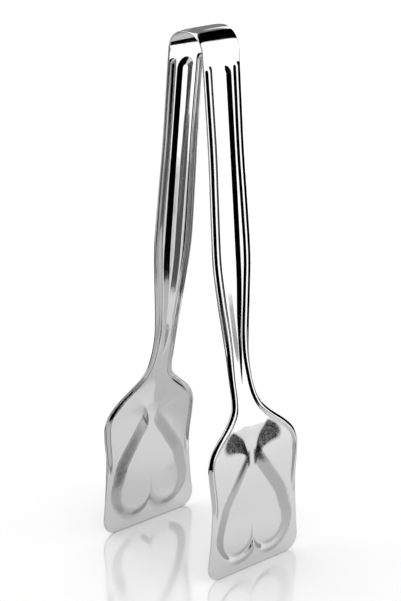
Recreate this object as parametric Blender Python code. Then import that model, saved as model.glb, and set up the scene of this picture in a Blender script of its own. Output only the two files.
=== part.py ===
"""Spring tongs pressed from one strip of stainless sheet: a bow at the top, two ribbed handles
and two wide embossed blades. Metres, +Z up. The arms spread along X and the strip is wide along
Y. The tongs stand open on the tips of the blades, and the origin is on the floor between them.

The strip is made in five solids, because the arms turn on the springing bow: the bow, and a
handle and a blade on each side. Every length below is in millimetres, and "along" is the
distance along the middle of the sheet from the top of the bow.
"""

import bmesh
import bpy
import numpy as np

SHEET = 0.8
STRIP = 239.4
BOW_RADIUS = 9.9
BOW_END = 14.64
JOIN = 150.0
GAP = 0.3
CORNER = 8.0
FOOT_TRIM = 0.6

# Share of an arm from the end of the bow to the tip, and the angle of the sheet from upright.
LEAN_AT = (0.0, 0.20, 0.40, 0.55, 0.62, 0.68, 0.73, 0.80, 1.00)
LEAN_DEG = (5.3, 5.2, 5.0, 6.9, 13.7, 22.1, 9.6, 2.9, -2.0)

# The same share, and half the width of the sheet there before the tip's corners are rounded.
WIDE_AT = (
    0.0, 0.08, 0.18, 0.28, 0.38, 0.46, 0.53, 0.59, 0.63, 0.66,
    0.685, 0.71, 0.735, 0.76, 0.80, 0.85, 0.90, 0.95, 1.0,
)
WIDE = (
    10.7, 10.5, 10.3, 10.8, 11.2, 9.7, 7.8, 6.6, 6.8, 7.5,
    9.9, 17.4, 23.9, 27.2, 26.7, 25.3, 25.8, 26.9, 28.4,
)

RIB_TOP = 19.0
RIM_HEIGHT = 0.9
CENTRE_RIB_HEIGHT = 0.75
RIB_WALL = 3.8
CROWN = 1.0

# Distance along, and half the width of the handle's centre rib there, to the foot of its walls.
RIB_AT = (20.0, 105.0, 130.0, 148.0, 160.0)
RIB_HALF = (5.4, 5.4, 4.0, 2.3, 0.0)

# Distance along, and how deep the neck, the shield and its stem lie below the rim's path there.
NECK_AT = (158.0, 165.0, 170.0, 176.0, 186.0, 193.0)
NECK_DEPTH = (0.0, 0.25, 0.6, 1.1, 1.35, 1.45)

# Distance from the middle of the blade, and where the shield's arched wall starts and ends there.
ARCH_Y = (0.0, 1.8, 3.0, 4.5, 8.2, 12.0, 16.0, 22.0)
ARCH_TOP = (190.0, 188.5, 185.0, 181.4, 178.2, 175.4, 173.0, 171.0)
ARCH_FOOT = (198.0, 196.0, 191.5, 188.0, 186.2, 185.6, 185.6, 186.0)

# The heart is the two lobes' chains of circles: middle across, middle along, and radius.
HEART = ((0.0, 189.9, 3.0), (7.4, 212.4, 10.0), (10.0, 221.9, 10.5))
HEART_DEPTH = 1.45
HEART_WALL = 3.1


def clear_scene():
    """Removes every object of the startup scene."""
    for obj in list(bpy.data.objects):
        bpy.data.objects.remove(obj, do_unlink=True)


def through(at, knots, values):
    """A smooth curve through the knots that never overshoots them (monotone cubic)."""
    knots = np.asarray(knots, float)
    values = np.asarray(values, float)
    step = np.diff(knots)
    rise = np.diff(values) / step
    slope = np.zeros(len(knots))
    slope[0] = rise[0]
    slope[-1] = rise[-1]
    same = rise[:-1] * rise[1:] > 0
    mean = 2 * rise[:-1] * rise[1:] / np.where(same, rise[:-1] + rise[1:], 1)
    slope[1:-1] = np.where(same, mean, 0)
    at = np.clip(at, knots[0], knots[-1])
    i = np.clip(np.searchsorted(knots, at, side="right") - 1, 0, len(knots) - 2)
    t = (at - knots[i]) / step[i]
    a = (1 + 2 * t) * (1 - t) ** 2 * values[i] + t * t * (3 - 2 * t) * values[i + 1]
    b = t * (1 - t) ** 2 * slope[i] + t * t * (t - 1) * slope[i + 1]
    return a + step[i] * b


def ease(t):
    """0 below 0, 1 above 1, and smooth between them."""
    t = np.clip(t, 0, 1)
    return t * t * (3 - 2 * t)


def ramp(t, bend):
    """0 below 0, 1 above 1, and straight between them but for a round bend at each end."""
    t = np.clip(t, 0, 1)
    low = np.minimum(t, 1 - t)
    low = np.where(low < bend, low * low / (2 * bend), low - bend / 2) / (1 - bend)
    return np.where(t > 0.5, 1 - low, low)


def share(along):
    return (along - BOW_END) / (STRIP - BOW_END)


def centre_line():
    """A fine table of the right arm's middle line: along, x, z and lean in radians."""
    along = np.arange(0, STRIP + 2, 0.1)
    arc = np.pi / 2 - along / BOW_RADIUS
    arm = np.radians(through(share(along), LEAN_AT, LEAN_DEG))
    lean = np.where(along < BOW_END, arc, arm)
    middle = (lean[1:] + lean[:-1]) / 2
    x = np.concatenate([[0], np.cumsum(np.sin(middle) * 0.1)])
    z = -np.concatenate([[0], np.cumsum(np.cos(middle) * 0.1)])
    z -= np.interp(STRIP, along, z)
    return along, x, z, lean


def full_width(along):
    """Half the width before the corners: the knots' curve, averaged over 8 mm."""
    return sum(through(share(along + d), WIDE_AT, WIDE) for d in (-4, -2, 0, 2, 4)) / 5


def half_width(along):
    """Half the width of the sheet, with round corners at the tip."""
    deep = np.clip(along - (STRIP - CORNER), 0, CORNER)
    return full_width(along) - (CORNER - np.sqrt(CORNER**2 - deep**2))


def chain_distance(across, along, circles):
    """Signed distance to a chain of circles joined by their outer tangents."""
    near = np.full(np.broadcast(across, along).shape, 1e9)
    for (ax, ay, ar), (bx, by, br) in zip(circles, circles[1:]):
        length = np.hypot(bx - ax, by - ay)
        ux, uy = (bx - ax) / length, (by - ay) / length
        down = (across - ax) * ux + (along - ay) * uy
        off = np.abs((along - ay) * ux - (across - ax) * uy)
        lean = (br - ar) / length
        flat = np.sqrt(1 - lean**2)
        t = np.clip(down + off * lean / flat, 0, length)
        near = np.minimum(near, np.hypot(down - t, off) - (ar + (br - ar) * t / length))
    return near


def rim_width(along):
    """Width of the side rib with its edge: 4.8 mm on the handle, 3.4 mm on the blade."""
    return 4.8 - 1.4 * ease((along - 135) / 20)


def relief(along, across):
    """How far the sheet is pressed out from its middle line, towards the outside of the arm."""
    wide = half_width(along)
    slope = np.gradient(half_width(along[:, 0]), along[:, 0])[:, None]
    edge = (wide - np.abs(across)) / np.sqrt(1 + np.clip(slope, -3, 3) ** 2)
    off = np.abs(across)

    to_neck = ease((along - 132) / 24)
    fade = ease((along - RIB_TOP) / 3) * (1 - ease((along - 203) / 9))
    crest, foot = 2.6 - 0.95 * to_neck, 4.8 - 1.5 * to_neck
    rims = RIM_HEIGHT * fade * ramp(edge / crest - 0.05, 0.3) * ramp((foot - edge) / (foot - crest), 0.3)
    droop = np.where(across < 0, CROWN, 0.35 * CROWN)
    crown = droop * (off / full_width(along)) ** 4 * (1 - ease(along / 12))

    round_top = np.hypot(np.minimum(along - RIB_TOP - 5.5, 0), across)
    rib = through(along, RIB_AT, RIB_HALF) - round_top
    centre = CENTRE_RIB_HEIGHT * ramp(rib / RIB_WALL, 0.3)

    wall = HEART_WALL * (1 - 0.5 * ease((along - 221) / 9))
    heart = HEART_DEPTH * ramp(0.5 - chain_distance(off, along, HEART) / (2 * wall), 0.18)
    heart = heart * (1 - 0.5 * ease((along - 212) / 18))
    foot = through(off, ARCH_Y, ARCH_FOOT)
    arch = ramp((foot - along) / (foot - through(off, ARCH_Y, ARCH_TOP)), 0.25)
    side = np.maximum(3.4, 0.75 * (full_width(along) - 3))
    neck = through(along, NECK_AT, NECK_DEPTH) * ease((edge - 2.9) / side)
    return rims + centre - crown - neck * arch - heart * (1 - arch)


def columns(along, inner):
    """Positions across the sheet in each row: close together on the rims, even between."""
    wide = half_width(along)[:, None]
    rim = rim_width(along)[:, None]
    inset = np.array([0, 0.14, 0.32, 0.5, 0.68, 0.86]) * rim
    middle = np.linspace(-1, 1, inner) * (wide - rim)
    return np.concatenate([-wide + inset, middle, (wide - inset)[:, ::-1]], axis=1)


def sheet_points(along, across, side):
    """The sheet's middle surface in millimetres. side is 1 for the right arm, -1 for the left."""
    table, x, z, lean = centre_line()
    x = np.interp(along, table, x)[:, None]
    z = np.interp(along, table, z)[:, None]
    lean = np.interp(along, table, lean)[:, None]
    out = relief(along[:, None] + 0 * across, across)
    return np.stack([side * (x + out * np.cos(lean)), across, z + out * np.sin(lean)], axis=2)


def bow_points(across):
    """The bow's middle surface, from the end of its left half over the top to the right. Its
    edges droop a little at the top."""
    along = np.linspace(0, BOW_END - GAP / 2, 13)
    right = sheet_points(along, WIDE[0] * across + 0 * along[:, None], 1)
    return np.concatenate([right[:0:-1] * (-1, 1, 1), right])


def add_sheet(name, points, flip, material):
    """Makes a grid of points into an object and thickens it to the sheet's thickness."""
    rows, cols = points.shape[:2]
    mesh = bpy.data.meshes.new(name)
    build = bmesh.new()
    verts = [build.verts.new(point) for point in points.reshape(-1, 3) / 1000]
    for r in range(rows - 1):
        for c in range(cols - 1):
            a = r * cols + c
            ring = [verts[a], verts[a + cols], verts[a + cols + 1], verts[a + 1]]
            build.faces.new(ring[::-1] if flip else ring)
    build.to_mesh(mesh)
    build.free()
    obj = bpy.data.objects.new(name, mesh)
    bpy.context.scene.collection.objects.link(obj)
    obj.data.materials.append(material)
    thick = obj.modifiers.new("Thickness", "SOLIDIFY")
    thick.thickness = SHEET / 1000
    thick.offset = 0
    return obj


def finish(obj):
    """Smooth shading, with the sheet's cut edges kept sharp."""
    obj.data.shade_smooth()
    obj.data.set_sharp_from_angle(angle=np.radians(35))


def trim_foot(obj):
    """Cuts the blade off level at the floor."""
    bpy.ops.mesh.primitive_cube_add(size=0.2, location=(0, 0, 0.1))
    cutter = bpy.context.object
    cutter.name = obj.name + "_trim"
    cutter.hide_render = True
    cutter.display_type = "WIRE"
    cut = obj.modifiers.new("Level foot", "BOOLEAN")
    cut.operation = "INTERSECT"
    cut.solver = "EXACT"
    cut.object = cutter


def steel(name, tone, roughness):
    """Stainless steel: tone is its grey, roughness 0 for a mirror."""
    material = bpy.data.materials.new(name)
    material.use_nodes = True
    shader = material.node_tree.nodes["Principled BSDF"]
    shader.inputs["Base Color"].default_value = (tone, tone, tone, 1)
    shader.inputs["Metallic"].default_value = 1
    shader.inputs["Roughness"].default_value = roughness
    return material


def make_bow():
    """The flat strip bent round at the top, which springs the arms open."""
    across = np.linspace(-1, 1, 9)
    bow = add_sheet("spring_bow", bow_points(across), True, steel("bow_steel", 0.60, 0.16))
    finish(bow)


def make_handle(name, side, material):
    """The upper part of an arm, stiffened by three ribs pressed outwards."""
    start, end = BOW_END + GAP / 2, JOIN - GAP / 2
    along = np.concatenate([np.linspace(start, 30, 8)[:-1], np.linspace(30, end, 25)])
    points = sheet_points(along, columns(along, 13), side)
    finish(add_sheet(name, points, side > 0, material))


def make_blade(name, side, material):
    """The neck and the wide blade, with its rim, its sunk shield and its heart."""
    start = JOIN + GAP / 2
    body = np.linspace(start, STRIP - CORNER, 33)
    corner = STRIP - CORNER + CORNER * np.sin(np.radians([18, 36, 52, 66, 78, 90]))
    along = np.concatenate([body, corner, [STRIP + FOOT_TRIM]])
    blade = add_sheet(name, sheet_points(along, columns(along, 15), side), side > 0, material)
    trim_foot(blade)
    finish(blade)


def main():
    clear_scene()
    make_bow()
    handle_steel = steel("handle_steel", 0.62, 0.14)
    blade_steel = steel("blade_steel", 0.58, 0.22)
    for name, side in (("right", 1), ("left", -1)):
        make_handle(name + "_handle", side, handle_steel)
        make_blade(name + "_blade", side, blade_steel)


main()
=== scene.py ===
"""Spring tongs pressed from one strip of polished stainless sheet, standing open on a pale floor.

The strip bends, so each half of it is one smooth surface that follows the bow at its top and its
own arm from the end of the bow down. The strip is worked out in millimetres, and becomes metres
where its mesh is made. The stage is in metres.
"""

import bmesh
import bpy
import numpy as np
from mathutils import Matrix


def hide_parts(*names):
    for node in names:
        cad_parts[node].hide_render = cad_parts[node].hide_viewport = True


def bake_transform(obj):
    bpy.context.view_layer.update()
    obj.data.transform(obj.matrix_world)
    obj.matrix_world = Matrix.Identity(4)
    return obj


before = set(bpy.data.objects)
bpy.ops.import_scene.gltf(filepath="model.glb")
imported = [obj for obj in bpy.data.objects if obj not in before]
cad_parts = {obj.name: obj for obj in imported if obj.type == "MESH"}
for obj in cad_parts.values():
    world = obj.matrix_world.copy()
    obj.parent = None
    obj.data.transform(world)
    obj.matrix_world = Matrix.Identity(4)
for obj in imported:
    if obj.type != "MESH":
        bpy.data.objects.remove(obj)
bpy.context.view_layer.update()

bl_info = {
    "name": "Spring Tongs",
    "version": (1, 0, 0),
    "blender": (4, 5, 0),
    "location": "3D View > Sidebar > Tongs",
    "description": "Builds one-piece stainless spring tongs and their studio",
    "category": "Add Mesh",
}

# Share of an arm from the end of the bow to the tip, and the angle of the sheet from upright.
LEAN_AT = (0.0, 0.20, 0.40, 0.55, 0.62, 0.68, 0.73, 0.80, 1.00)
LEAN_DEG = (5.3, 5.2, 5.0, 6.9, 13.7, 22.1, 9.6, 2.9, -2.0)

# The same share, and half the width of the sheet there before the tip's corners are rounded.
WIDE_AT = (
    0.0, 0.08, 0.18, 0.28, 0.38, 0.46, 0.53, 0.59, 0.63, 0.66,
    0.685, 0.71, 0.735, 0.76, 0.80, 0.85, 0.90, 0.95, 1.0,
)
WIDE = (
    10.7, 10.5, 10.3, 10.8, 11.2, 9.7, 7.8, 6.6, 6.8, 7.5,
    9.9, 17.4, 23.9, 27.2, 26.7, 25.3, 25.8, 26.9, 28.4,
)

# Distance along, and half the width of the handle's centre rib there, to the foot of its walls.
RIB_AT = (20.0, 105.0, 130.0, 148.0, 160.0)
RIB_HALF = (5.4, 5.4, 4.0, 2.3, 0.0)

# Distance along, and how deep the neck, the shield and its stem lie below the rim's path there.
NECK_AT = (158.0, 165.0, 170.0, 176.0, 186.0, 193.0)
NECK_DEPTH = (0.0, 0.25, 0.6, 1.1, 1.35, 1.45)

# Distance from the middle of the blade, and where the shield's arched wall starts and ends there.
ARCH_Y = (0.0, 1.8, 3.0, 4.5, 8.2, 12.0, 16.0, 22.0)
ARCH_TOP = (190.0, 188.5, 185.0, 181.4, 178.2, 175.4, 173.0, 171.0)
ARCH_FOOT = (198.0, 196.0, 191.5, 188.0, 186.2, 185.6, 185.6, 186.0)

# The heart is two chains of circles: middle across, middle along, and radius.
HEART = ((0.0, 189.9, 3.0), (7.0, 212.4, 10.4), (9.4, 221.9, 11.1))
HEART_WALL = 3.1

# Where the centre rib's round top has its middle, and the width of the rib's walls.
RIB_START = 24.5
RIB_WALL = 4.6

# The share of a wall's width that the round bend at its foot takes, and the one at its top.
BEND = 0.3
ARCH_BEND = 0.25
HEART_BEND = 0.18

# The sheet's edge is rounded over this width.
EDGE_ROUND = 0.3

# The painted shade on the heart's walls is this much less on the inner face than on the outer.
INNER_WALL_SHADE = 0.45

# What the steel mirrors, standing round the tongs: name, from and to in degrees, distance, foot and
# top in metres, and glow. The softbox lights the faces. The black cards beside it draw the dark line
# down one wall of each rib, and the ones over it and in front of it darken the bow.
CARDS = (
    ("softbox_right", 0, 55, 0.42, 0.0, 0.56, 1.75),
    ("grey_card_low", 2, 26, 0.415, 0.0, 0.022, 0.15),
    ("grey_card_small", 8, 14, 0.416, 0.022, 0.042, 0.55),
    ("black_card_low", 50, 104, 0.41, 0.0, 0.2, 0.0),
    ("black_card_back", 55, 104, 0.43, 0.2, 0.9, 0.0),
    ("black_card_over", -40, 55, 0.44, 0.56, 1.1, 0.0),
    ("black_card_front", -95, 0, 0.45, 0.0, 0.9, 0.0),
    ("grey_card_back", 118, 172, 0.47, 0.32, 0.9, 0.3),
    ("grey_card_above", 104, 118, 0.475, 0.635, 0.9, 0.3),
    ("black_card_left", 172, 215, 0.48, 0.0, 0.9, 0.02),
)

# Mats on the floor, out of view: name, glow, and corners to the camera's right and away from it.
MATS = (
    ("black_mat_back", 0.0, ((0.245, 0.02), (0.42, 0.02), (0.42, 0.6), (0.215, 0.6))),
    ("dark_mat_right", 0.12, ((0.2, -0.07), (0.4, -0.11), (0.4, -0.4), (0.1, -0.4))),
    (
        "black_mat_left",
        0.04,
        ((-0.105, 0.15), (-0.16, 0.6), (-0.5, 0.6), (-0.5, -0.2), (-0.1, -0.2)),
    ),
)
MAT_HEIGHT = 0.0005
CARD_SEGMENTS = 25
FLOOR_HALF = 6.0

# The camera's target: how high, and how far to the left of the middle.
TARGET_HEIGHT = 0.11318
TARGET_LEFT = 0.00045


def linear(code):
    """The linear colour of an sRGB hex value."""
    parts = [int(code[i : i + 2], 16) / 255 for i in (1, 3, 5)]
    return tuple(c / 12.92 if c <= 0.04045 else ((c + 0.055) / 1.055) ** 2.4 for c in parts)


class TongsSettings(bpy.types.PropertyGroup):
    """The sizes of the strip and of what is pressed into it."""

    sheet: bpy.props.FloatProperty(
        name="Sheet", description="Thickness of the steel", default=0.0008, min=0.0003, unit="LENGTH"
    )
    strip: bpy.props.FloatProperty(
        name="Half Strip",
        description="Length along the sheet from the top of the bow to a tip",
        default=0.2394,
        unit="LENGTH",
    )
    bow_radius: bpy.props.FloatProperty(
        name="Bow Radius", description="To the middle of the sheet", default=0.0099, unit="LENGTH"
    )
    corner: bpy.props.FloatProperty(
        name="Corner", description="Radius of the corners at the tip", default=0.008, unit="LENGTH"
    )
    rib_height: bpy.props.FloatProperty(
        name="Centre Rib", description="Height of the handle's centre rib", default=0.0009, unit="LENGTH"
    )
    side_height: bpy.props.FloatProperty(
        name="Side Ribs", description="Height of the side ribs and rim", default=0.0009, unit="LENGTH"
    )
    crown: bpy.props.FloatProperty(
        name="Crown", description="Droop of the bow's edges at its top", default=0.001, unit="LENGTH"
    )
    heart_depth: bpy.props.FloatProperty(
        name="Heart", description="Depth that the heart is pressed in", default=0.00145, unit="LENGTH"
    )


class SteelSettings(bpy.types.PropertyGroup):
    """The finish of the steel."""

    bright: bpy.props.FloatVectorProperty(
        name="Steel", description="Polished steel", subtype="COLOR", size=3, default=linear("#CECECE")
    )
    # Painted shade: the colour that the heart's walls on one side are drawn with.
    painted_wall_shade: bpy.props.FloatVectorProperty(
        name="Painted Wall Shade",
        description="The heart's walls on the side that looks darker",
        subtype="COLOR",
        size=3,
        default=linear("#ADADAD"),
    )
    polish: bpy.props.FloatProperty(
        name="Roughness",
        description="Of the polished faces",
        default=0.07,
        min=0,
        max=1,
        subtype="FACTOR",
    )
    # The roughness of the band at the foot of the shield, whose colour is also painted dark as shade.
    dull_and_shade: bpy.props.FloatProperty(
        name="Dull Roughness",
        description="Of the foot of the shield, which the polishing wheel misses",
        default=0.34,
        min=0,
        max=1,
        subtype="FACTOR",
    )


class StageSettings(bpy.types.PropertyGroup):
    """The floor, the light and the camera."""

    floor: bpy.props.FloatVectorProperty(
        name="Floor",
        description="Colour of the floor",
        subtype="COLOR",
        size=3,
        default=linear("#F6F6F6"),
    )
    light: bpy.props.FloatProperty(name="Light", description="Brightness of the room", default=0.97)
    wall: bpy.props.FloatProperty(
        name="Mirrored Wall", description="Brightness of the room in the steel", default=1.6
    )
    azimuth: bpy.props.FloatProperty(
        name="Azimuth", description="Of the camera", default=np.radians(45.53), subtype="ANGLE"
    )
    pitch: bpy.props.FloatProperty(
        name="Pitch", description="Downwards", default=np.radians(18.24), subtype="ANGLE"
    )
    roll: bpy.props.FloatProperty(
        name="Roll", description="Of the camera", default=np.radians(0.49), subtype="ANGLE"
    )
    distance: bpy.props.FloatProperty(
        name="Distance", description="From the camera to its target", default=0.8769, unit="LENGTH"
    )
    lens: bpy.props.FloatProperty(name="Lens", description="Focal length", default=122.5, unit="CAMERA")


def through(at, knots, values):
    """A smooth curve through the knots that never overshoots them: a cubic in each span, whose
    slope at a knot is the harmonic mean of the slopes beside it, or 0 where they disagree."""
    knots = np.asarray(knots, float)
    values = np.asarray(values, float)
    step = np.diff(knots)
    rise = np.diff(values) / step
    slope = np.zeros(len(knots))
    slope[0] = rise[0]
    slope[-1] = rise[-1]
    same = rise[:-1] * rise[1:] > 0
    mean = 2 * rise[:-1] * rise[1:] / np.where(same, rise[:-1] + rise[1:], 1)
    slope[1:-1] = np.where(same, mean, 0)
    at = np.clip(at, knots[0], knots[-1])
    i = np.clip(np.searchsorted(knots, at, side="right") - 1, 0, len(knots) - 2)
    t = (at - knots[i]) / step[i]
    a = (1 + 2 * t) * (1 - t) ** 2 * values[i] + t * t * (3 - 2 * t) * values[i + 1]
    b = t * (1 - t) ** 2 * slope[i] + t * t * (t - 1) * slope[i + 1]
    return a + step[i] * b


def ease(t):
    """0 below 0 and 1 above 1, with a smooth step 3t^2 - 2t^3 between them."""
    t = np.clip(t, 0, 1)
    return t * t * (3 - 2 * t)


def over(value, start, end):
    """0 up to start and 1 from end on, with a smooth step between them."""
    return ease((value - start) / (end - start))


def ramp(t, bend):
    """0 below 0 and 1 above 1, straight between them but for a round bend at each end, over the
    share bend of the way."""
    t = np.clip(t, 0, 1)
    low = np.minimum(t, 1 - t)
    low = np.where(low < bend, low * low / (2 * bend), low - bend / 2) / (1 - bend)
    return np.where(t > 0.5, 1 - low, low)


def chain_distance(across, along, circles):
    """Signed distance to circles joined by their outer tangents: the smallest, over the links, of
    the distance from the link's own slanted foot point less the radius there."""
    near = np.full(np.broadcast(across, along).shape, 1e9)
    for (ax, ay, ar), (bx, by, br) in zip(circles, circles[1:]):
        length = np.hypot(bx - ax, by - ay)
        ux, uy = (bx - ax) / length, (by - ay) / length
        down = (across - ax) * ux + (along - ay) * uy
        off = np.abs((along - ay) * ux - (across - ax) * uy)
        lean = (br - ar) / length
        t = np.clip(down + off * lean / np.sqrt(1 - lean**2), 0, length)
        near = np.minimum(near, np.hypot(down - t, off) - (ar + (br - ar) * t / length))
    return near


class Strip:
    """One half of the strip, worked out in millimetres: along runs down the middle of the sheet
    from the top of the bow, and across runs along Y."""

    def __init__(self, settings):
        self.sheet = settings.sheet * 1000
        self.length = settings.strip * 1000
        self.bow = settings.bow_radius * 1000
        self.corner = settings.corner * 1000
        self.rib = settings.rib_height * 1000
        self.side = settings.side_height * 1000
        self.crown = settings.crown * 1000
        self.heart = settings.heart_depth * 1000
        self.bow_end = self.bow * (np.pi / 2 - np.radians(LEAN_DEG[0]))
        self.table = self.centre_line()

    def share(self, along):
        """How far down the arm a point is: 0 at the end of the bow and 1 at the tip."""
        return (along - self.bow_end) / (self.length - self.bow_end)

    def centre_line(self):
        """A table of along, x, z and lean. In the bow the lean falls evenly from a right angle, and
        below it follows the knots. x and z are the running sums of its sine and cosine."""
        step = 0.05
        along = np.arange(0, self.length + step, step)
        arc = np.pi / 2 - along / self.bow
        arm = np.radians(through(self.share(along), LEAN_AT, LEAN_DEG))
        lean = np.where(along < self.bow_end, arc, arm)
        middle = (lean[1:] + lean[:-1]) / 2
        x = np.concatenate([[0], np.cumsum(np.sin(middle) * step)])
        z = -np.concatenate([[0], np.cumsum(np.cos(middle) * step)])
        z -= np.interp(self.length, along, z)
        return along, x, z, lean

    def full_width(self, along):
        """Half the width before the corners: the knots' curve, averaged over 8 mm."""
        return sum(through(self.share(along + d), WIDE_AT, WIDE) for d in (-4, -2, 0, 2, 4)) / 5

    def half_width(self, along):
        """The full width's half, less a quarter circle over the last corner's length."""
        deep = np.clip(along - (self.length - self.corner), 0, self.corner)
        return self.full_width(along) - (self.corner - np.sqrt(self.corner**2 - deep**2))

    def rim_width(self, along):
        """Width of the side rib with its edge: 4.8 mm on the handle, and 3.4 mm on the blade."""
        return 4.8 - 1.4 * over(along, 135, 155)

    def edge_distance(self, along, across):
        """Distance to the outline: the gap across the sheet, divided by the root of one plus the
        outline's slope squared, and no more than the distance to the tip."""
        wide = self.half_width(along)
        full = self.full_width(along)
        slope = np.gradient(full[:, 0], along[:, 0])[:, None]
        gap = (wide - np.abs(across)) / np.sqrt(1 + slope**2)
        corner_y = full - self.corner
        deep = along - (self.length - self.corner)
        wide_of = np.abs(across) - corner_y
        round_gap = self.corner - np.hypot(np.maximum(wide_of, 0), np.maximum(deep, 0))
        return np.maximum(np.where(deep > 0, round_gap, gap), 0)

    def arch(self, along, off):
        """How far up the shield's arched wall a point is: 0 at its foot and 1 at its top."""
        foot = through(off, ARCH_Y, ARCH_FOOT)
        return (foot - along) / (foot - through(off, ARCH_Y, ARCH_TOP))

    def arch_ramp(self, along, off):
        """The shield's arched wall as a ramp: 0 at its foot and 1 at its top."""
        return ramp(self.arch(along, off), ARCH_BEND)

    def side_ribs(self, along, edge):
        """Ramps up from the outline to a crest, and down again to a foot. Both lie nearer to the
        outline on the blade. The ribs start under the bow, and fade out on the blade."""
        blade = over(along, 132, 156)
        crest, foot = 2.6 - 0.95 * blade, 4.8 - 1.5 * blade
        up, down = edge / crest - 0.05, (foot - edge) / (foot - crest)
        fade = over(along, 19, 22) * (1 - over(along, 203, 212))
        return self.side * fade * ramp(up, BEND) * ramp(down, BEND)

    def centre_rib(self, along, across):
        """A ramp in from the foot of the walls, by the distance from the middle, and above the
        start by the distance from there, which makes the top round."""
        gap = np.hypot(np.minimum(along - RIB_START, 0), across)
        return self.rib * ramp((through(along, RIB_AT, RIB_HALF) - gap) / RIB_WALL, BEND)

    def bow_droop(self, along, across):
        """The droop at the edges, times the fourth power of the share of the way out to them. It
        is less on one side, and dies out down the bow."""
        droop = np.where(across < 0, self.crown, 0.35 * self.crown)
        return droop * (np.abs(across) / self.full_width(along)) ** 4 * (1 - over(along, 0, 12))

    def sunk_heart(self, along, off):
        """A ramp by the distance to the chain of circles, whose wall narrows at the lobes and in
        the cleft, and whose depth halves towards the tip."""
        wall = HEART_WALL * (1 - 0.5 * over(along, 221, 230))
        wall = wall * (1 - 0.5 * over(off, 4, 0) * over(along, 205, 215))
        heart = self.heart * ramp(0.5 - chain_distance(off, along, HEART) / (2 * wall), HEART_BEND)
        return heart * (1 - 0.5 * over(along, 212, 230))

    def sunk_neck(self, along, edge):
        """The knots' depth, eased in from inside the rim over about three quarters of the way to
        the middle."""
        side = np.maximum(3.4, 0.75 * (self.full_width(along) - 3))
        return through(along, NECK_AT, NECK_DEPTH) * over(edge, 2.9, 2.9 + side)

    def relief(self, along, across):
        """How far the sheet is pressed outwards: the side ribs and the centre rib, less the bow's
        droop, and less the sunk neck above the arched wall and the sunk heart below it."""
        edge = self.edge_distance(along, across)
        off = np.abs(across)
        arch = self.arch_ramp(along, off)
        ribs = self.side_ribs(along, edge) + self.centre_rib(along, across)
        sunk = self.sunk_neck(along, edge) * arch + self.sunk_heart(along, off) * (1 - arch)
        return ribs - self.bow_droop(along, across) - sunk

    def dull_and_shade_band(self, along, across, side):
        """1 on the shield's arched wall and the top of the heart's wall, and 0 elsewhere. There the
        steel is rougher, and it is coloured dark and speckled as painted shade.
        """
        off = np.abs(across)
        foot = self.arch(along, off)
        top = self.arch(along + 0.25 * np.clip(side * across - 4, 0, 13), off)
        patch = over(foot, 0, 0.385) * over(top, 1.25, 0.917)
        patch = patch * over(self.edge_distance(along, across), 2.6, 6.6) * over(off, 18.5, 13.5)
        patch = patch * over(off, 0.8, 2.2) * over(along, 194, 190)
        wall = np.abs(chain_distance(off, along, HEART) - 0.6)
        end = np.where(side * across < 0, 204, 194)
        streak = over(wall, 2.6, 0) * over(along, 184, 188) * over(along, end, 189)
        streak = streak * over(off, 0.5, 2.0)
        return np.clip(1.9 * patch + 1.2 * streak, 0, 1)

    def painted_wall_shade(self, along, across, side):
        """1 on the heart's walls that are painted darker as shade, and 0 elsewhere. They are the walls
        where the distance to the heart's outline grows across the strip."""
        step = 0.05
        gap = chain_distance(np.abs(across), along, HEART)
        growth = (chain_distance(np.abs(across + step), along, HEART) - gap) / step
        band = over(np.abs(gap - 0.1), 3.0, 2.3) * (1 - self.arch_ramp(along, np.abs(across)))
        return band * over(side * growth, -0.55, 0.05)

    def surface(self, along, across, side):
        """The middle of the sheet: the centre line, moved out along its normal by the relief."""
        table, x, z, lean = self.table
        x = np.interp(along[:, 0], table, x)[:, None]
        z = np.interp(along[:, 0], table, z)[:, None]
        lean = np.interp(along[:, 0], table, lean)[:, None]
        out = self.relief(along, across)
        return np.stack([side * (x + out * np.cos(lean)), across, z + out * np.sin(lean)], axis=2)

    def rows(self):
        """Distances along: close together round the bow, at the ends of the ribs and at the tip."""
        turn = self.length - 0.6 * self.corner
        parts = [
            np.arange(0, self.bow_end, 0.3),
            np.arange(self.bow_end, 30, 0.28),
            np.arange(30, 150, 1.6),
            np.arange(150, turn, 0.6),
            turn + (self.length - turn) * np.sin(np.linspace(0, np.pi / 2, 22)),
        ]
        return np.concatenate(parts)

    def columns(self, along):
        """Distances across, in each row: close together on the cut edge, the rim and the middle."""
        wide = self.half_width(along)
        rim = np.minimum(self.rim_width(along) + 0.3, wide * 0.8)
        cut = EDGE_ROUND * np.array([0, 0.067, 0.2, 0.4, 0.667, 1])
        rest = EDGE_ROUND + np.linspace(0, 1, 17)[1:-1] * (rim - EDGE_ROUND)
        inset = np.concatenate([cut + 0 * rim, rest], axis=1)
        even = np.linspace(-1, 1, 75)
        middle = (0.55 * even + 0.45 * even**3) * (wide - rim)
        return np.concatenate([-wide + inset, middle, (wide - inset)[:, ::-1]], axis=1)


def half_shell(strip, side):
    """Both faces of one half of the strip. Each face is the middle surface moved along its own
    normal by half the sheet, times the root of e(2 - e), where e is the distance to the outline
    over the rounded width, up to 1. So the faces meet in a round edge."""
    along = strip.rows()[:, None]
    across = strip.columns(along)
    along = along + 0 * across
    points = strip.surface(along, across, side)
    table, _, _, lean = strip.table
    lean = np.interp(along, table, lean)
    step = 0.02
    down = strip.surface(np.minimum(along + step, strip.length), across, side) - points
    wide = strip.surface(along, across + step, side) - strip.surface(along, across - step, side)
    back = strip.surface(np.maximum(along - step, 0), across, side) - points
    normal = np.cross(down - back, wide)
    normal /= np.linalg.norm(normal, axis=2, keepdims=True) + 1e-12
    outward = np.stack([side * np.cos(lean), 0 * lean, np.sin(lean)], axis=2)
    normal *= np.sign((normal * outward).sum(axis=2, keepdims=True))
    e = np.clip(strip.edge_distance(along, across) / EDGE_ROUND, 0, 1)
    half = strip.sheet / 2 * np.sqrt(e * (2 - e))[..., None]
    return along, across, points + normal * half, points - normal * half


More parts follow.
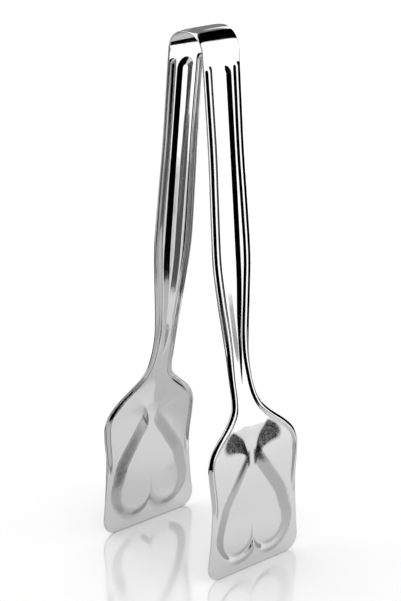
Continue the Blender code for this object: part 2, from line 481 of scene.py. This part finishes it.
def grid_faces(rows, cols, start, flip):
    """Four-sided faces of a grid of points, numbered row by row from start."""
    at = np.arange(rows * cols).reshape(rows, cols) + start
    quads = np.stack([at[:-1, :-1], at[1:, :-1], at[1:, 1:], at[:-1, 1:]], axis=2).reshape(-1, 4)
    return quads[:, ::-1] if flip else quads


def make_half(name, strip, side):
    """Joins the two faces of one half into a closed mesh, with how dull and how dark the shield's foot
    is painted at each point, how much painted shade the heart's walls have there, and a map of the strip
    laid flat."""
    along, across, outer, inner = half_shell(strip, side)
    rows, cols = along.shape
    count = rows * cols
    cap = np.stack([np.arange(cols - 1), np.arange(1, cols)], axis=1)
    cap = np.concatenate([cap, cap[:, ::-1] + count], axis=1)
    faces = np.concatenate([
        grid_faces(rows, cols, 0, side < 0),
        grid_faces(rows, cols, count, side > 0),
        cap if side > 0 else cap[:, ::-1],
    ])
    points = np.concatenate([outer.reshape(-1, 3), inner.reshape(-1, 3)]) / 1000
    mesh = bpy.data.meshes.new(name)
    mesh.from_pydata(points.tolist(), [], faces.tolist())
    # Painted shade and more roughness at the shield's foot and the top of the heart's wall, on the outer
    # face only.
    dull_and_shade = np.concatenate([strip.dull_and_shade_band(along, across, side).ravel(), np.zeros(count)])
    mesh.attributes.new("dull_and_shade", "FLOAT", "POINT").data.foreach_set("value", dull_and_shade)
    # Painted shade on the heart's walls, with less of it on the inner face.
    painted_wall_shade = strip.painted_wall_shade(along, across, side).ravel()
    painted_wall_shade = np.concatenate([painted_wall_shade, INNER_WALL_SHADE * painted_wall_shade])
    mesh.attributes.new("painted_wall_shade", "FLOAT", "POINT").data.foreach_set("value", painted_wall_shade)
    flat = np.tile(np.stack([across.ravel(), along.ravel()], axis=1) / 1000, (2, 1))
    corners = np.array([loop.vertex_index for loop in mesh.loops])
    mesh.uv_layers.new(name="Strip").data.foreach_set("uv", flat[corners].ravel())
    weld = bmesh.new()
    weld.from_mesh(mesh)
    bmesh.ops.remove_doubles(weld, verts=weld.verts, dist=1e-7)
    bmesh.ops.recalc_face_normals(weld, faces=weld.faces)
    weld.to_mesh(mesh)
    weld.free()
    mesh.shade_smooth()
    obj = bpy.data.objects.new(name, mesh)
    bpy.context.scene.collection.objects.link(obj)
    return obj


def node(tree, kind, settings=None, links=None):
    """Adds a node, with its settings and sockets by name, and links into its sockets."""
    added = tree.nodes.new(kind)
    for key, value in (settings or {}).items():
        if isinstance(key, str) and hasattr(added, key):
            setattr(added, key, value)
        else:
            added.inputs[key].default_value = value
    for key, source in (links or {}).items():
        tree.links.new(source, added.inputs[key])
    return added


def blend(tree, factor, low, high):
    """A colour that goes from low to high with the factor. Each is a colour or a node's output."""
    mix = node(tree, "ShaderNodeMix", {"data_type": "RGBA"})
    ends = [s for s in mix.inputs if s.type == "RGBA"]
    tree.links.new(factor, [s for s in mix.inputs if s.type == "VALUE"][0])
    for end, value in zip(ends, (low, high)):
        if isinstance(value, tuple):
            end.default_value = value
        else:
            tree.links.new(value, end)
    return [s for s in mix.outputs if s.type == "RGBA"][0]


def new_material(name):
    """An empty material and its node tree."""
    material = bpy.data.materials.new(name)
    material.use_nodes = True
    material.node_tree.nodes.clear()
    return material, material.node_tree


def polished_stainless(settings):
    """Stainless sheet, pressed and bright polished. It mirrors the room almost sharply, with the
    faint lines of the rolled sheet, a slight ripple from the press, painted shade on the walls on one
    side of the heart, and a rougher band at the foot of the shield, painted dark and speckled as shade."""
    material, tree = new_material("polished_stainless_sheet")
    flat = node(tree, "ShaderNodeUVMap", {"uv_map": "Strip"})
    dull_and_shade = node(tree, "ShaderNodeAttribute", {"attribute_name": "dull_and_shade"})
    # Rolling lines run across the strip: 0.12 mm apart and many millimetres long.
    rolled = node(tree, "ShaderNodeMapping", {"Scale": (60, 2600, 1)}, {"Vector": flat.outputs["UV"]})
    lines = node(
        tree,
        "ShaderNodeTexNoise",
        {"Scale": 1.0, "Detail": 3.0, "Roughness": 0.6},
        {"Vector": rolled.outputs[0]},
    )
    # The press leaves a ripple about 6 mm long and a few thousandths deep.
    place = node(tree, "ShaderNodeTexCoord").outputs["Object"]
    ripple = node(tree, "ShaderNodeTexNoise", {"Scale": 160.0, "Detail": 1.0}, {"Vector": place})
    # Stretched metal is grained like orange peel, about 0.6 mm across. The grain speckles the dark steel
    # that is painted as shade at the foot of the shield.
    grain = node(tree, "ShaderNodeTexNoise", {"Scale": 1500.0, "Detail": 2.0}, {"Vector": place})
    speckled_shade = node(
        tree,
        "ShaderNodeMapRange",
        {"From Min": 0.36, "From Max": 0.66, "To Min": 0.0, "To Max": 0.17},
        {"Value": grain.outputs["Fac"]},
    )
    # Painted shade: the heart's walls that face one way are coloured a little darker than the bright
    # sheet.
    wall_shade_mask = node(tree, "ShaderNodeAttribute", {"attribute_name": "painted_wall_shade"})
    bright = blend(tree, wall_shade_mask.outputs["Fac"], (*settings.bright, 1), (*settings.painted_wall_shade, 1))
    # Painted shade: the foot of the shield and the top of the heart's wall are coloured dark, speckled
    # steel.
    colour = blend(tree, dull_and_shade.outputs["Fac"], bright, speckled_shade.outputs[0])
    # The roughness follows the rolling lines, a quarter less or a third more, up to the dull one.
    streak = node(
        tree,
        "ShaderNodeMapRange",
        {"To Min": settings.polish * 0.75, "To Max": settings.polish * 1.3},
        {"Value": lines.outputs["Fac"]},
    )
    rough = node(
        tree,
        "ShaderNodeMapRange",
        {"To Max": settings.dull_and_shade},
        {"Value": dull_and_shade.outputs["Fac"], "To Min": streak.outputs[0]},
    )
    fine = node(
        tree,
        "ShaderNodeBump",
        {"Strength": 0.02, "Distance": 0.0002},
        {"Height": lines.outputs["Fac"]},
    )
    bump = node(
        tree,
        "ShaderNodeBump",
        {"Strength": 0.02, "Distance": 0.001},
        {"Height": ripple.outputs["Fac"], "Normal": fine.outputs[0]},
    )
    steel = node(
        tree,
        "ShaderNodeBsdfPrincipled",
        {"Metallic": 1.0},
        {"Base Color": colour, "Roughness": rough.outputs[0], "Normal": bump.outputs[0]},
    )
    node(tree, "ShaderNodeOutputMaterial", None, {"Surface": steel.outputs[0]})
    return material


def gloss_floor(settings):
    """White acrylic board: even and pale, with a faint soft reflection of what stands on it."""
    material, tree = new_material("white_acrylic_board")
    place = node(tree, "ShaderNodeTexCoord").outputs["Object"]
    cloud = node(tree, "ShaderNodeTexNoise", {"Scale": 3.0}, {"Vector": place})
    rough = node(
        tree,
        "ShaderNodeMapRange",
        {"To Min": 0.10, "To Max": 0.13},
        {"Value": cloud.outputs["Fac"]},
    )
    board = node(
        tree,
        "ShaderNodeBsdfPrincipled",
        {"Base Color": (*settings.floor, 1), "IOR": 2.0},
        {"Roughness": rough.outputs[0]},
    )
    node(tree, "ShaderNodeOutputMaterial", None, {"Surface": board.outputs[0]})
    return material


def card_material(name, brightness):
    """Studio card or softbox: an even glow, or none, that only shows in the steel and the floor."""
    material, tree = new_material(name)
    glow = node(tree, "ShaderNodeEmission", {"Color": (1, 1, 1, 1), "Strength": brightness})
    node(tree, "ShaderNodeOutputMaterial", None, {"Surface": glow.outputs[0]})
    return material


def add_card(name, start, end, radius, foot, top, glow):
    """A standing card: part of a cylinder round the tongs, over a range of angles and heights."""
    angle = np.radians(np.linspace(start, end, CARD_SEGMENTS))
    ring = np.stack([radius * np.cos(angle), radius * np.sin(angle)], axis=1)
    low = np.column_stack([ring, np.full(CARD_SEGMENTS, foot)])
    high = np.column_stack([ring, np.full(CARD_SEGMENTS, top)])
    faces = grid_faces(2, CARD_SEGMENTS, 0, False).tolist()
    stage_light(name, np.concatenate([low, high]).tolist(), faces, glow)


def add_mat(name, turn, corners, glow):
    """A flat mat on the floor, its corners given to the right and away from the camera, which
    stands at the given turn."""
    right = np.array([np.cos(turn), np.sin(turn), 0])
    away = np.array([-np.sin(turn), np.cos(turn), 0])
    points = [(r * right + a * away + (0, 0, MAT_HEIGHT)).tolist() for r, a in corners]
    stage_light(name, points, [list(range(len(points)))], glow)


def stage_light(name, points, faces, glow):
    """A stage surface with an even glow, seen in mirror reflections only."""
    mesh = bpy.data.meshes.new(name)
    mesh.from_pydata(points, [], faces)
    obj = bpy.data.objects.new(name, mesh)
    bpy.context.scene.collection.objects.link(obj)
    obj.data.materials.append(card_material(name, glow))
    obj.visible_camera = False
    obj.visible_diffuse = False
    obj.visible_shadow = False


class TONGS_OT_strip(bpy.types.Operator):
    """Builds both halves of the pressed strip and gives them their steel"""

    bl_idname = "tongs.strip"
    bl_label = "Build Pressed Strip"

    def execute(self, context):
        scene = context.scene
        strip = Strip(scene.tongs)
        steel = polished_stainless(scene.tongs_steel)
        for name, side in (("right", 1), ("left", -1)):
            half = make_half(name + "_half_strip", strip, side)
            half.data.materials.append(steel)
            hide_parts("spring_bow", name + "_handle", name + "_blade")
            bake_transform(half)
        return {"FINISHED"}


class TONGS_OT_stage(bpy.types.Operator):
    """Sets up the floor, the cards, the light and the camera"""

    bl_idname = "tongs.stage"
    bl_label = "Set the Stage"

    def execute(self, context):
        scene = context.scene
        settings = scene.tongs_stage
        self.add_floor(settings)
        for card in CARDS:
            add_card(*card)
        for name, glow, corners in MATS:
            add_mat(name, settings.azimuth, corners, glow)
        self.add_world(scene, settings)
        self.add_camera(scene, settings)
        scene.view_settings.view_transform = "Standard"
        return {"FINISHED"}

    def add_floor(self, settings):
        """A square board whose top is at height 0."""
        mesh = bpy.data.meshes.new("floor")
        corners = [(x * FLOOR_HALF, y * FLOOR_HALF, 0) for x, y in ((-1, -1), (1, -1), (1, 1), (-1, 1))]
        mesh.from_pydata(corners, [], [(0, 1, 2, 3)])
        floor = bpy.data.objects.new("floor", mesh)
        bpy.context.scene.collection.objects.link(floor)
        mesh.materials.append(gloss_floor(settings))

    def add_world(self, scene, settings):
        """Even light on the floor, and a brighter wall for the floor and the steel to mirror."""
        world = bpy.data.worlds.new("studio")
        scene.world = world
        world.use_nodes = True
        tree = world.node_tree
        tree.nodes.clear()
        path = node(tree, "ShaderNodeLightPath")
        level = node(
            tree,
            "ShaderNodeMapRange",
            {"To Min": settings.light, "To Max": settings.wall},
            {"Value": path.outputs["Is Glossy Ray"]},
        )
        sky = node(tree, "ShaderNodeBackground", {"Color": (1, 1, 1, 1)}, {"Strength": level.outputs[0]})
        node(tree, "ShaderNodeOutputWorld", None, {"Surface": sky.outputs[0]})

    def add_camera(self, scene, settings):
        """Looks at a point a little left of the middle of the tongs, slightly down, with a small
        roll about its own line of sight."""
        a, p = settings.azimuth, settings.pitch
        ahead = np.array([-np.sin(a) * np.cos(p), np.cos(a) * np.cos(p), -np.sin(p)])
        right = np.array([np.cos(a), np.sin(a), 0.0])
        up = np.cross(right, ahead)
        target = np.array([0, 0, TARGET_HEIGHT]) - TARGET_LEFT * right
        spot = target - ahead * settings.distance
        turn, lift = np.cos(settings.roll), np.sin(settings.roll)
        right, up = right * turn + up * lift, up * turn - right * lift
        camera = bpy.data.objects.new("camera", bpy.data.cameras.new("camera"))
        scene.collection.objects.link(camera)
        camera.data.lens = settings.lens
        camera.data.sensor_width = 36
        camera.data.clip_start = 0.01
        matrix = np.eye(4)
        matrix[:3, 0], matrix[:3, 1], matrix[:3, 2], matrix[:3, 3] = right, up, -ahead, spot
        camera.matrix_world = Matrix(matrix.tolist())
        scene.camera = camera


class TONGS_PT_panel(bpy.types.Panel):
    """Lists the settings and what they build"""

    bl_label = "Spring Tongs"
    bl_idname = "TONGS_PT_panel"
    bl_space_type = "VIEW_3D"
    bl_region_type = "UI"
    bl_category = "Tongs"

    def draw(self, context):
        layout = self.layout
        for settings in (context.scene.tongs, context.scene.tongs_steel, context.scene.tongs_stage):
            column = layout.column(align=True)
            for key in settings.__annotations__:
                column.prop(settings, key)
        layout.operator("tongs.strip")
        layout.operator("tongs.stage")


CLASSES = (
    TongsSettings,
    SteelSettings,
    StageSettings,
    TONGS_OT_strip,
    TONGS_OT_stage,
    TONGS_PT_panel,
)


def register():
    for cls in CLASSES:
        bpy.utils.register_class(cls)
    bpy.types.Scene.tongs = bpy.props.PointerProperty(type=TongsSettings)
    bpy.types.Scene.tongs_steel = bpy.props.PointerProperty(type=SteelSettings)
    bpy.types.Scene.tongs_stage = bpy.props.PointerProperty(type=StageSettings)


def unregister():
    del bpy.types.Scene.tongs_stage
    del bpy.types.Scene.tongs_steel
    del bpy.types.Scene.tongs
    for cls in reversed(CLASSES):
        bpy.utils.unregister_class(cls)


def main():
    register()
    bpy.ops.tongs.strip()
    bpy.ops.tongs.stage()


if __name__ == "__main__":
    main()
